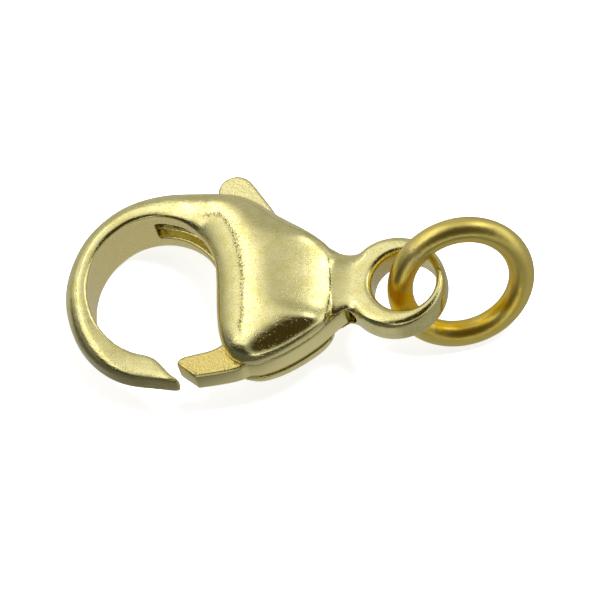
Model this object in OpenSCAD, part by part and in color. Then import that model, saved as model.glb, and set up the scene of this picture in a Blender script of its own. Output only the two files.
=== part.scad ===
// Lobster clasp with a jump ring, lying on its hook and on the ring.
// The claw's own frame has the eye's centre at 0, the hook towards -X and the
// thumb tab towards +Y; lying() then sets the whole clasp down on z = 0.

/* [Body] */
// Length of the puffed body, from the hook opening to the neck
body_length = 4.9; // [4.4:0.1:5.6]
// Width of the body across its widest place
body_width = 7.0; // [6.4:0.1:7.8]
// Thickness of the body at its crown
body_thickness = 3.4; // [2.8:0.1:4]
// Thickness left at the body's edge, over both lips of the slot
edge_thickness = 1.5; // [1.42:0.02:1.8]

/* [Hook] */
// Clear length of the hook's opening
hook_opening_length = 5.05; // [4.4:0.05:5.8]
// Clear width of the hook's opening
hook_opening_width = 5.65; // [5.2:0.05:6.2]
// Height of the hook's flat inner wall
hook_height = 2.4; // [2:0.1:2.8]
// Thickness of the hook's wall round its far bend
hook_wall = 0.98; // [0.8:0.02:1.3]
// Thickness of the hook's wall at its root
root_wall = 1.42; // [1.2:0.02:1.6]
// Thickness of the flattened tip
tip_thickness = 1.04; // [0.8:0.02:1.4]
// How far the tip reaches from the hook's middle towards the gate
tip_reach = 1.19; // [1:0.01:1.25]

/* [Eye] */
// Diameter of the eye's rounded outside
eye_outer_d = 4.1; // [3.9:0.02:4.4]
// Diameter of the eye's hole
eye_hole_d = 2.5; // [2.36:0.02:2.6]
// How far the outside's centre lies from the hole's, towards the neck
eye_back = 0.36; // [0.2:0.02:0.4]
// Thickness of the eye and neck
eye_thickness = 1.38; // [1.2:0.02:1.6]
// Radius of the eye's rounded outer edges
eye_edge_r = 0.45; // [0.3:0.01:0.55]
// Size of the chamfer at each end of the eye's hole
eye_chamfer = 0.12; // [0.05:0.01:0.15]
// Distance from the body's end to the eye's centre
eye_offset = 2.35; // [2.2:0.05:2.7]
// Width of the neck at its waist
neck_width = 2.6; // [2.2:0.05:2.9]
// Radius of the hollow on each side of the neck
neck_hollow_r = 0.72; // [0.6:0.02:0.9]

/* [Lever] */
// Thickness of the stamped lever
lever_thickness = 1.0; // [0.8:0.02:1.06]
// Clearance over and under the lever in its slot
slot_clearance = 0.05; // [0.03:0.01:0.1]
// How far the gate reaches into the hook's opening
gate_reach = 1.43; // [1.2:0.01:1.5]
// Width of the gate
gate_width = 0.98; // [0.8:0.02:1.1]
// How far the lever's edge lies back from the body's edge
lever_setback = 0.1; // [0.05:0.01:0.2]
// Width of the thumb tab
tab_width = 2.3; // [1.9:0.1:2.6]
// How far the thumb tab stands out past the body's widest place
tab_stand = 1.32; // [0.9:0.02:1.6]
// Gap between the thumb tab and the end of its slot
tab_gap = 0.1; // [0.06:0.01:0.2]
// How far the slot runs on as a blind recess into the hook's root
recess_length = 2.3; // [1.5:0.05:2.6]
// Depth of that recess in the hook's inner wall
recess_depth = 0.35; // [0.2:0.05:0.5]

/* [Pivot] */
// Diameter of the pivot pin
pin_d = 0.9; // [0.7:0.02:1.1]
// Radial running clearance of the lever on its pin
pin_clearance = 0.04; // [0.02:0.01:0.08]
// Radial clearance of the pin in the body
pin_seat_clearance = 0.01; // [0.005:0.005:0.02]
// Metal left over the pin's hidden end
pin_cover = 0.55; // [0.4:0.05:0.8]
// How far the pin's other end lies below the crown
pin_sink = 0.2; // [0.1:0.05:0.4]

/* [Jump ring] */
// Outer diameter of the jump ring
ring_outer_d = 5.78; // [5.5:0.02:6.4]
// Diameter of the jump ring's wire
ring_wire_d = 1.0; // [0.8:0.02:1.04]
// How steeply the ring leans, against the claw's flat
ring_lean = 66; // [60:1:72]
// Direction in which the ring lies away from the claw's length
ring_turn = 20.8; // [10:1:30]
// Where the ring's wire passes through the eye, along the claw
ring_pass_x = -0.22; // [-0.3:0.01:-0.1]
// Where the ring's wire passes through the eye, across the claw
ring_pass_y = 0.1; // [0:0.01:0.2]
// How far round the ring from its middle height the wire passes through
ring_pass_angle = 19.3; // [14:0.1:24]

/* [Hidden] */
$fn = 72;

body_half = body_thickness / 2;
edge_half = edge_thickness / 2;
hook_half = hook_height / 2;
tip_half = tip_thickness / 2;
eye_half = eye_thickness / 2;
// The body's face towards the hook's opening, and the opening's middle
face_x = -eye_offset - body_length;
hook_x = face_x - hook_opening_length / 2;
// The crowning of the body and hook: 1 is round, less is squarer
body_round = 0.8;
gate_side_round = 1;
hook_round = 0.9;
// Sections along the claw between two rows, and points on a quarter of a section
row_steps = 3;
quarter_steps = 6;

// A place given in shares of the body's length and half width
function in_body(x, y) = [face_x + x * body_length, y * body_width / 2];
// A place on the hook's inner wall at an angle, and one outside it by a wall
function in_hook(a) =
    [hook_x + hook_opening_length / 2 * cos(a), hook_opening_width / 2 * sin(a)];
function hook_normal(a) =
    let(n = [cos(a) / hook_opening_length, sin(a) / hook_opening_width]) n / norm(n);
function round_hook(a, wall) = in_hook(a) + wall * hook_normal(a);
function mix(a, b, share) = a + (b - a) * share;

// The hook's tip, which is cut off aslant where the gate closes on it
function in_tip(x, y) =
    [hook_x + x * tip_reach, -hook_opening_width / 2 + y * hook_wall];

// Rows across the claw from the body's gate corner, through the body and round
// the hook to its tip: inner place, outer place, then the half heights of the
// inner edge, the outer edge and the crown, the crown's place, and the roundness of
// the crown's inner and outer flanks
function row(inner, outer, inner_half, outer_half, crown, place, inner_round, outer_round) =
    concat(inner, outer, [inner_half, outer_half, crown, place, inner_round, outer_round]);
rows = [
    row(in_body(0.163, -0.93), in_body(0.235, -0.98),
        edge_half, edge_half, mix(edge_half, body_half, 0.04), 0.5, body_round, gate_side_round),
    row(in_body(0.092, -0.81), in_body(0.398, -0.965),
        edge_half, edge_half, mix(edge_half, body_half, 0.52), 0.5, body_round, gate_side_round),
    row(in_body(0.047, -0.63), in_body(0.622, -0.825),
        edge_half, edge_half, mix(edge_half, body_half, 0.82), 0.5, body_round, gate_side_round),
    row(in_body(0.022, -0.41), in_body(0.857, -0.57),
        edge_half, edge_half, mix(edge_half, body_half, 0.96), 0.48, body_round, gate_side_round),
    row(in_body(0.01, -0.19), in_body(0.965, -0.3),
        mix(edge_half, hook_half, 0.12), edge_half * 0.85, body_half, 0.46, body_round, body_round),
    row(in_hook(1), in_body(0.99, 0.02),
        mix(edge_half, hook_half, 0.25), edge_half * 0.85, body_half, 0.46, body_round, body_round),
    row(in_hook(15), in_body(0.955, 0.31),
        mix(edge_half, hook_half, 0.4), edge_half * 0.85, body_half * 0.99, 0.46, body_round, body_round),
    row(in_hook(27), in_body(0.776, 0.55),
        mix(edge_half, hook_half, 0.55), edge_half * 0.6, body_half * 0.97, 0.46, body_round, body_round),
    row(in_hook(38), in_body(0.48, 0.795),
        mix(edge_half, hook_half, 0.7), edge_half * 0.5, body_half * 0.93, 0.45, body_round, body_round),
    row(in_hook(50), in_body(0.18, 1.045),
        mix(edge_half, hook_half, 0.82), edge_half * 0.42, body_half * 0.88, 0.42, body_round, body_round),
    row(in_hook(69), round_hook(69, root_wall),
        hook_half * 0.92, edge_half * 0.36, hook_half * 1.13, 0.38, hook_round, hook_round),
    row(in_hook(91), round_hook(91, mix(hook_wall, root_wall, 0.4)),
        hook_half * 0.93, hook_half * 0.21, hook_half * 1.07, 0.34, hook_round, hook_round),
    row(in_hook(114), round_hook(114, mix(hook_wall, root_wall, 0.11)),
        hook_half * 0.93, hook_half * 0.21, hook_half * 1.04, 0.32, hook_round, hook_round),
    row(in_hook(138), round_hook(138, hook_wall * 0.97),
        hook_half * 0.93, hook_half * 0.21, hook_half * 1.03, 0.32, hook_round, hook_round),
    row(in_hook(160), round_hook(160, hook_wall * 0.95),
        hook_half * 0.92, hook_half * 0.21, hook_half * 1.01, 0.32, hook_round, hook_round),
    row(in_hook(182), round_hook(182, hook_wall * 0.98),
        hook_half * 0.87, hook_half * 0.21, hook_half * 0.98, 0.32, hook_round, hook_round),
    row(in_hook(202), round_hook(202, hook_wall),
        mix(tip_half, hook_half, 0.6), tip_half * 0.52, mix(tip_half, hook_half, 0.8), 0.34, 0.8, 0.8),
    row(in_hook(220), round_hook(220, hook_wall * 1.02),
        mix(tip_half, hook_half, 0.38), tip_half * 0.6, mix(tip_half, hook_half, 0.54), 0.36, 0.7, 0.7),
    row(in_hook(238), round_hook(238, hook_wall * 1.03),
        mix(tip_half, hook_half, 0.16), tip_half * 0.68, mix(tip_half, hook_half, 0.3), 0.4, 0.55, 0.55),
    row(in_hook(255), round_hook(255, hook_wall * 1.04),
        tip_half * 0.96, tip_half * 0.76, mix(tip_half, hook_half, 0.1), 0.42, 0.45, 0.45),
    row(in_tip(0.14, -0.16), in_tip(0.3, -1.12),
        tip_half * 0.9, tip_half * 0.8, tip_half, 0.45, 0.4, 0.4),
    row(in_tip(0.8, -1.02), in_tip(1, -1.2),
        tip_half * 0.86, tip_half * 0.8, tip_half * 0.94, 0.5, 0.4, 0.4)
];
last_row = len(rows) - 1;

// A row at any place along the claw, on a smooth curve through all the rows
function row_at(s) =
    let(i = min(floor(s), last_row - 1), t = s - i,
        b = rows[i], c = rows[i + 1],
        a = i > 0 ? rows[i - 1] : 2 * b - c,
        d = i < last_row - 1 ? rows[i + 2] : 2 * c - b)
    (2 * b + (c - a) * t + (2 * a - 5 * b + 4 * c - d) * t * t
        + (3 * b - a - 3 * c + d) * t * t * t) / 2;

function row_inner(r) = [r[0], r[1]];
function row_outer(r) = [r[2], r[3]];
// One section: over the top from the inner edge to the outer one, and back below
function quarter_point(r, share, z, side) =
    let(p = mix(row_inner(r), row_outer(r), share)) [p[0], p[1], side * z];
function half_section(r, side) = concat(
    [for (i = [0 : quarter_steps]) let(f = 90 * i / quarter_steps)
        quarter_point(r, r[7] * (1 - pow(cos(f), r[8])),
            mix(r[4], r[6], pow(sin(f), r[8])), side)],
    [for (i = [quarter_steps - 1 : -1 : 0]) let(f = 90 * i / quarter_steps)
        quarter_point(r, 1 - (1 - r[7]) * (1 - pow(cos(f), r[9])),
            mix(r[5], r[6], pow(sin(f), r[9])), side)]);
half_count = 2 * quarter_steps + 1;
section_count = 2 * half_count;
function section(r) =
    let(top = half_section(r, 1), bottom = half_section(r, -1))
    concat(top, [for (i = [half_count - 1 : -1 : 0]) bottom[i]]);

// A closed skin over a row of sections that all have the same count of points
module skin(sections) {
    count = len(sections);
    n = section_count;
    points = [for (s = sections, p = s) p];
    sides = [for (i = [0 : count - 2], j = [0 : n - 1])
        let(a = i * n + j, b = i * n + (j + 1) % n, c = b + n, d = a + n)
        each [[a, c, b], [a, d, c]]];
    first = [for (j = [1 : n - 2]) [0, j, j + 1]];
    last = [for (j = [1 : n - 2]) let(z = (count - 1) * n) [z, z + j + 1, z + j]];
    polyhedron(points, concat(sides, first, last), convexity = 8);
}

module body_and_hook() {
    skin([for (i = [0 : last_row * row_steps]) section(row_at(i / row_steps))]);
}

// The eye's outside is a round disc with rounded edges, whose hole lies off its
// centre, away from the neck
eye_outer_r = eye_outer_d / 2;
module eye_disc() {
    translate([-eye_back, 0])
        rotate_extrude() {
            translate([0, -eye_half])
                square([eye_outer_r - eye_edge_r, eye_thickness]);
            translate([0, -eye_half + eye_edge_r])
                square([eye_outer_r, eye_thickness - 2 * eye_edge_r]);
            for (side = [-1, 1])
                translate([eye_outer_r - eye_edge_r, side * (eye_half - eye_edge_r)])
                    circle(eye_edge_r, $fn = 48);
        }
}

module eye_hole() {
    translate([0, 0, -eye_thickness])
        cylinder(h = 2 * eye_thickness, d = eye_hole_d);
    for (side = [-1, 1])
        scale([1, 1, side])
            translate([0, 0, eye_half - eye_chamfer])
                cylinder(h = 2 * eye_chamfer, d1 = eye_hole_d, d2 = eye_hole_d + 4 * eye_chamfer);
}

// The neck runs into the eye along a hollow arc on each side, tangent to a circle
// a little inside the eye's rounded edge
neck_inset = 0.12;
meet_r = eye_outer_r - neck_inset;
hollow_y = neck_width / 2 + neck_hollow_r;
hollow_x = -eye_back - sqrt(pow(meet_r + neck_hollow_r, 2) - pow(hollow_y, 2));
meet_share = meet_r / (meet_r + neck_hollow_r);
meet = [-eye_back + (hollow_x + eye_back) * meet_share, hollow_y * meet_share];
// How deep the neck is rooted in the body
neck_root = 0.85;
// The neck is a little thinner than the eye, so that their faces stay apart
neck_drop = 0.04;
module neck() {
    translate([0, 0, -eye_half + neck_drop])
        linear_extrude(eye_thickness - 2 * neck_drop)
            difference() {
                translate([-eye_offset - neck_root, -meet[1]])
                    square([meet[0] + eye_offset + neck_root, 2 * meet[1]]);
                for (side = [-1, 1])
                    translate([hollow_x, side * hollow_y])
                        circle(neck_hollow_r);
            }
}

// The slot for the lever: open along the gate side, the hook's opening and the
// thumb tab's side, and closed at the neck and at the hook's root
slot_height = lever_thickness + 2 * slot_clearance;
// The slot's end towards the neck and its open front, in shares of the body
slot_back = [in_body(1.03, -2), in_body(1.03, -0.36), in_body(0.85, 0.46),
    in_body(0.85, 0.6), in_body(1.03, 0.8), in_body(1.03, 2)];
slot_front = [in_body(-0.12, 0), in_body(-0.12, -2)];
// The thumb tab starts this far before the body's face
tab_lead = 0.3;
tab_x = face_x - tab_lead;
slot_root_x = tab_x - tab_gap;
recess_end_x = slot_root_x - recess_length;
recess_start_angle = acos((slot_root_x - hook_x) / (hook_opening_length / 2 + recess_depth));
recess_end_angle = acos((recess_end_x - hook_x) / (hook_opening_length / 2));
recess_steps = 12;
function recess_point(share) =
    let(a = mix(recess_start_angle, recess_end_angle, share)) round_hook(a, recess_depth);
module slot() {
    recess = [for (i = [0 : recess_steps]) recess_point(i / recess_steps)];
    translate([0, 0, -slot_height / 2])
        linear_extrude(slot_height)
            polygon(concat(slot_back, [[slot_root_x, body_width]], recess,
                [round_hook(recess_end_angle, -recess_depth)], slot_front));
}

pivot = in_body(0.64, -0.37);
pin_low = -body_half + pin_sink;
pin_high = body_half - pin_cover;
module at_pivot(z) {
    translate([pivot[0], pivot[1], z]) children();
}

module claw_solid() {
    difference() {
        union() {
            body_and_hook();
            neck();
            eye_disc();
        }
        eye_hole();
        slot();
        at_pivot(-body_thickness)
            cylinder(h = body_thickness + pin_high, r = pin_d / 2 + pin_seat_clearance);
    }
}

// The lever's outline: the gate's underside, the edge along the body's rows, the
// hidden back, the thumb tab, the hidden front, then the gate's upper side
gate_low = in_body(0, -1.112)[1];
// A place in shares of the gate's reach, from its tip, and of its width
function in_gate(x, y) =
    [face_x - gate_reach + x * gate_reach, gate_low + y * gate_width];
gate_under = [in_gate(0, 0.66), in_gate(0.02, 0.6), in_gate(0.52, 0.02), in_gate(0.56, 0),
    in_gate(1.66, 0.24)];
gate_over = [in_gate(1.2, 1.27), in_gate(0.21, 0.9), in_gate(0.1, 0.84), in_gate(0.02, 0.74)];
function lever_edge(s) =
    let(r = row_at(s), way = row_inner(r) - row_outer(r))
    row_outer(r) + way * lever_setback / norm(way);
edge_first_row = 0.25;
edge_last_row = 3.85;
edge_steps = 14;
tab_top = body_width / 2 + tab_stand;
// The tab's rounded top, in shares of its width and of its stand
tab_shape = [[1.0, -0.35], [0.86, -0.06], [0.7, 0.3], [0.56, 0.66], [0.46, 0.87],
    [0.36, 0.97], [0.26, 1.0], [0.16, 0.95], [0.07, 0.83], [0.015, 0.66], [0, 0.46]];
lever_back = [in_body(0.93, -0.24), in_body(0.86, -0.14), in_body(0.72, 0.1), in_body(0.54, 0.45)];
lever_front = [in_body(-0.02, 0.7), in_body(0.06, 0.3), in_body(0.13, -0.1), in_body(0.13, -0.5)];
module lever_outline() {
    along = [for (i = [0 : edge_steps])
        lever_edge(mix(edge_first_row, edge_last_row, i / edge_steps))];
    tab = [for (p = tab_shape)
        [tab_x + p[0] * tab_width, body_width / 2 + p[1] * tab_stand]];
    polygon(concat(gate_under, along, lever_back, tab, lever_front, gate_over));
}

module lever_solid() {
    difference() {
        translate([0, 0, -lever_thickness / 2])
            linear_extrude(lever_thickness)
                lever_outline();
        at_pivot(-lever_thickness)
            cylinder(h = 2 * lever_thickness, r = pin_d / 2 + pin_clearance);
    }
}

module pivot_pin_solid() {
    at_pivot(pin_low)
        cylinder(h = pin_high - pin_low, r = pin_d / 2);
}

// The ring's own plane leans by ring_lean about a level line through its middle
ring_mid_r = (ring_outer_d - ring_wire_d) / 2;
ring_level = [cos(ring_turn), sin(ring_turn), 0];
ring_rise = [-sin(ring_turn) * cos(ring_lean), cos(ring_turn) * cos(ring_lean), sin(ring_lean)];
ring_centre = [ring_pass_x, ring_pass_y, 0]
    + ring_mid_r * (cos(ring_pass_angle) * ring_level - sin(ring_pass_angle) * ring_rise);
module jump_ring_solid() {
    translate(ring_centre)
        rotate([0, 0, ring_turn])
            rotate([ring_lean, 0, 0])
                rotate_extrude()
                    translate([ring_mid_r, 0])
                        circle(ring_wire_d / 2, $fn = 48);
}

// The clasp lies on the hook's lower rim at its far bend and on the ring, each foot
// given along the claw and in height
foot_share = 0.32;
hook_foot = [hook_x - hook_opening_length / 2 - foot_share * hook_wall, -hook_half * 0.98];
ring_foot = [ring_centre[0] - ring_rise[0] * ring_mid_r,
    ring_centre[2] - ring_rise[2] * ring_mid_r - ring_wire_d / 2];
lie_angle = atan2(hook_foot[1] - ring_foot[1], ring_foot[0] - hook_foot[0]);
// The rounded feet reach this much lower than the two points
foot_bulge = 0.03;
lie_lift = foot_bulge - hook_foot[0] * sin(lie_angle) - hook_foot[1] * cos(lie_angle);
// The box's ends along the claw, and its middle across from the gate to the tab
left_end = hook_foot[0] - (1 - foot_share) * hook_wall;
right_end = ring_centre[0] + norm([ring_level[0], ring_rise[0]]) * ring_mid_r + ring_wire_d / 2;
lie_middle = (left_end + right_end) / 2 * cos(lie_angle);
gate_side_y = in_body(0, -1.15)[1];
middle_y = (tab_top + gate_side_y) / 2;
module lying() {
    translate([-lie_middle, -middle_y, lie_lift])
        rotate([0, -lie_angle, 0])
            children();
}

module claw() {
    color("khaki") lying() claw_solid();
}

module lever() {
    color("palegoldenrod") lying() lever_solid();
}

module pivot_pin() {
    color("darkkhaki") lying() pivot_pin_solid();
}

module jump_ring() {
    color("goldenrod") lying() jump_ring_solid();
}

claw();
lever();
pivot_pin();
jump_ring();
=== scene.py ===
import bpy
import numpy as np
from mathutils import Matrix


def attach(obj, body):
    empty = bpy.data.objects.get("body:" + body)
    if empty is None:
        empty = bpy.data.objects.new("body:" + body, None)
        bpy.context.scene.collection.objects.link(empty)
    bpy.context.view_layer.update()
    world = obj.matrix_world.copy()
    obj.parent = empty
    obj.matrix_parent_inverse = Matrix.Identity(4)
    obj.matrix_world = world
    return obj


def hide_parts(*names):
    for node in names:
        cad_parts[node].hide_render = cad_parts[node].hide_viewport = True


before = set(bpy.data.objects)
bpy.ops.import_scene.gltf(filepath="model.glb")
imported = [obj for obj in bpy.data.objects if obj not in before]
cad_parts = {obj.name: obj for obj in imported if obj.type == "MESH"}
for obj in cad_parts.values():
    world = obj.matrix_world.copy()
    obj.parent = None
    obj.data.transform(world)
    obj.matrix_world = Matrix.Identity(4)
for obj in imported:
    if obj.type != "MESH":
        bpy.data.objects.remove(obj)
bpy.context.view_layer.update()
print("frame loaded:", ", ".join(sorted(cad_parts)))

# The clasp is worked out flat, in millimetres, with the eye's centre at 0, the hook
# towards -X and the thumb tab towards +Y. Lying down turns it about Y and moves it.
lying = {"angle": 8.47374, "shift": (4.21176, -0.3975, 3.05185)}
lieCos, lieSin = np.cos(np.radians(lying["angle"])), np.sin(np.radians(lying["angle"]))
lieTurn = np.array([[lieCos, 0, -lieSin], [0, 1, 0], [lieSin, 0, lieCos]])


def toWorld(points):
    # world = (turn * point + shift) / 1000, from flat millimetres to metres lying down
    return (np.asarray(points, float) @ lieTurn.T + lying["shift"]) / 1000


def mix(a, b, share):
    # a + (b - a) * share
    return a + (b - a) * share


def fade(values, start, wide):
    # (values - start) / wide, kept from 0 to 1; a negative width fades in downwards
    return np.clip((values - start) / wide, 0, 1)


def gridFaces(rows, cols, closeRows=False, closeCols=False):
    # quad (i, j), (i, j+1), (i+1, j+1), (i+1, j) over a grid numbered i * cols + j
    i, j = np.meshgrid(np.arange(rows if closeRows else rows - 1),
                       np.arange(cols if closeCols else cols - 1), indexing="ij")
    i, j = i.ravel(), j.ravel()
    nextI, nextJ = (i + 1) % rows, (j + 1) % cols
    return np.stack([i * cols + j, i * cols + nextJ, nextI * cols + nextJ, nextI * cols + j], 1)


def closedTube(points):
    # points[row, column]: columns close round, and one flat face closes each end
    rows, cols, _ = points.shape
    faces = gridFaces(rows, cols, closeCols=True).tolist()
    faces.append(list(range(cols))[::-1])
    faces.append([(rows - 1) * cols + j for j in range(cols)])
    return points.reshape(-1, 3), faces


def linkObject(obj):
    bpy.context.scene.collection.objects.link(obj)
    return obj


def flatObject(name, points, faces):
    # a helper object in millimetres, before it lies down, with its faces turned outwards
    mesh = bpy.data.meshes.new(name)
    mesh.from_pydata(np.asarray(points, float).tolist(), [], [list(f) for f in faces])
    mesh.update()
    obj = linkObject(bpy.data.objects.new(name, mesh))
    bpy.context.view_layer.objects.active = obj
    obj.select_set(True)
    bpy.ops.object.mode_set(mode="EDIT")
    bpy.ops.mesh.select_all(action="SELECT")
    bpy.ops.mesh.normals_make_consistent(inside=False)
    bpy.ops.object.mode_set(mode="OBJECT")
    obj.select_set(False)
    return obj


def appliedMesh(obj):
    # the points and faces that the object's modifiers leave
    view = bpy.context.evaluated_depsgraph_get()
    done = obj.evaluated_get(view).to_mesh()
    points = np.empty(len(done.vertices) * 3)
    done.vertices.foreach_get("co", points)
    faces = [tuple(p.vertices) for p in done.polygons]
    obj.evaluated_get(view).to_mesh_clear()
    return points.reshape(-1, 3), faces


def dropObjects(*objs):
    for obj in objs:
        bpy.data.objects.remove(obj, do_unlink=True)


def addPiece(name, points, faces, material, body, node, shares=None):
    # the finished piece: lying down, in metres, riding on its body in a node's place;
    # shares are numbers at each point that its material reads
    mesh = bpy.data.meshes.new(name)
    mesh.from_pydata(toWorld(points).tolist(), [], [list(f) for f in faces])
    mesh.polygons.foreach_set("use_smooth", np.ones(len(mesh.polygons), bool))
    mesh.materials.append(material)
    for label, values in (shares or {}).items():
        values = np.asarray(values, float)
        kind, field = ("FLOAT", "value") if values.ndim == 1 else ("FLOAT_VECTOR", "vector")
        mesh.attributes.new(label, kind, "POINT").data.foreach_set(field, values.ravel())
    mesh.update()
    obj = linkObject(bpy.data.objects.new(name, mesh))
    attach(obj, body)
    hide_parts(node)
    print(f"{name}: {len(points)} points, {len(faces)} faces")


def hexColour(text):
    # sRGB hex to linear: c / 12.92 when dark, else ((c + 0.055) / 1.055) ^ 2.4
    srgb = np.array([int(text[k:k + 2], 16) / 255 for k in (0, 2, 4)])
    linear = np.where(srgb <= 0.04045, srgb / 12.92, ((srgb + 0.055) / 1.055) ** 2.4)
    return (*linear.tolist(), 1.0)


def addNode(tree, kind, settings=None, links=None):
    # settings: property, input name or input number -> value; links: input -> output socket
    node = tree.nodes.new(kind)
    for key, value in (settings or {}).items():
        if isinstance(key, int) or (key in node.inputs and not hasattr(node, key)):
            node.inputs[key].default_value = value
        else:
            setattr(node, key, value)
    for key, source in (links or {}).items():
        tree.links.new(source, node.inputs[key])
    return node


def newMaterial(name):
    material = bpy.data.materials.new(name)
    material.use_nodes = True
    material.node_tree.nodes.clear()
    return material, material.node_tree


def finishMetal(tree, height, settings, links):
    # a metal with a height in mm as its bump; settings and links are its shader's own
    bump = addNode(tree, "ShaderNodeBump", {"Strength": 1.0, "Distance": 0.001}, {"Height": height})
    shader = addNode(tree, "ShaderNodeBsdfPrincipled", {"Metallic": 1.0, **settings},
                     {"Normal": bump.outputs[0], **links})
    addNode(tree, "ShaderNodeOutputMaterial", {}, {"Surface": shader.outputs[0]})


def millimetres(tree):
    # 1000 * the object's own coordinates
    own = addNode(tree, "ShaderNodeTexCoord").outputs["Object"]
    return addNode(tree, "ShaderNodeMapping", {"Scale": (1000,) * 3}, {"Vector": own}).outputs[0]


# Tumbled and polished pale gold plate on cast brass: a bright mirror whose reflections
# are broken by the soft dents of the tumbling, fine grain, hair scratches and small pits,
# with painted shade darkening the crease at the dome's foot. Widths, spacings and depths are
# in millimetres. The real grain, scratches and pits are finer than the picture can show,
# so they are drawn just coarse enough to be seen.
tumbled = {
    "colour": "f6eca8", "worn": "ede194", "wearFrom": 0.4, "wearTo": 0.7, "inside": "f6e69c",
    "rough": 0.055, "roughGrain": 0.22, "roughFrom": 0.35, "roughTo": 0.75, "roughInside": 0.2,
    "dentWide": 0.5, "dentDeep": 0.0024, "grainWide": 0.06, "grainDeep": 0.0011,
    "markApart": 0.15, "markDeep": 0.0012, "speckle": 0.14, "speckleFrom": 0.38, "speckleTo": 0.62,
    "hairTurns": ((0.3, 0.2, 0.5), (-0.4, 0.1, 2.2)), "hairWide": 0.045, "hairLong": 1.6,
    "hairDeep": 0.0014, "hairFrom": 0.62, "hairTo": 0.72, "hairRough": 0.08,
    "pitApart": 0.13, "pitWide": 0.033, "pitDeep": 0.004, "pitShare": 0.8,
    "streakWide": 0.07, "streakLong": 2.2, "streakDeep": 0.0045,
    # the crease's keys place the painted shade line at the dome's foot and set how dark it is
    "creaseAt": -2.8, "creaseBend": 0.07, "creaseMiddle": -0.45, "creaseWide": 0.08,
    "paintedCreaseShade": 0.05, "creaseFrom": 0.42, "creaseTo": 0.6, "creaseReach": 1.3,
    "creaseEnd": 1.45, "creaseLow": 0.56, "creaseHigh": 0.62}


def paintedCreaseShade(tree, place, grain):
    # painted shade in the crease: a factor that falls to its dark level where |x - at + bend * (y -
    # middle)^2| < wide * (grain's share), within reach of the middle and above the slot, in flat
    # millimetres
    look = tumbled
    flat = addNode(tree, "ShaderNodeMapping", {
        "Rotation": (0, np.radians(lying["angle"]), 0),
        "Location": (-lieTurn.T @ np.array(lying["shift"])).tolist()}, {"Vector": place})
    parts = addNode(tree, "ShaderNodeSeparateXYZ", {}, {0: flat.outputs[0]}).outputs
    side = addNode(tree, "ShaderNodeMath", {"operation": "SUBTRACT", 1: look["creaseMiddle"]},
                   {0: parts["Y"]}).outputs[0]
    bend = addNode(tree, "ShaderNodeMath", {"operation": "MULTIPLY"}, {0: side, 1: side})
    line = addNode(tree, "ShaderNodeMath", {"operation": "MULTIPLY_ADD", 1: look["creaseBend"]},
                   {0: bend.outputs[0], 2: parts["X"]})
    off = addNode(tree, "ShaderNodeMath", {"operation": "SUBTRACT", 1: look["creaseAt"]},
                  {0: line.outputs[0]})
    off = addNode(tree, "ShaderNodeMath", {"operation": "ABSOLUTE"}, {0: off.outputs[0]})
    # a width of 0 would make dark dots everywhere, so it stops just short of it
    wide = addNode(tree, "ShaderNodeMapRange", {
        "From Min": look["creaseFrom"], "From Max": look["creaseTo"],
        "To Min": 0.001, "To Max": look["creaseWide"]}, {"Value": grain})
    near = addNode(tree, "ShaderNodeMapRange", {
        "interpolation_type": "SMOOTHSTEP", "To Min": look["paintedCreaseShade"], "To Max": 1.0},
        {"Value": off.outputs[0], "From Max": wide.outputs[0]})
    out = addNode(tree, "ShaderNodeMath", {"operation": "ABSOLUTE"}, {0: side})
    past = addNode(tree, "ShaderNodeMapRange", {
        "From Min": look["creaseReach"], "From Max": look["creaseEnd"]}, {"Value": out.outputs[0]})
    up = addNode(tree, "ShaderNodeMath", {"operation": "ABSOLUTE"}, {0: parts["Z"]})
    under = addNode(tree, "ShaderNodeMapRange", {
        "From Min": look["creaseHigh"], "From Max": look["creaseLow"]}, {"Value": up.outputs[0]})
    dark = addNode(tree, "ShaderNodeMath", {"operation": "MAXIMUM"},
                   {0: near.outputs[0], 1: past.outputs[0]})
    return addNode(tree, "ShaderNodeMath", {"operation": "MAXIMUM"},
                   {0: dark.outputs[0], 1: under.outputs[0]}).outputs[0]


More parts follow.
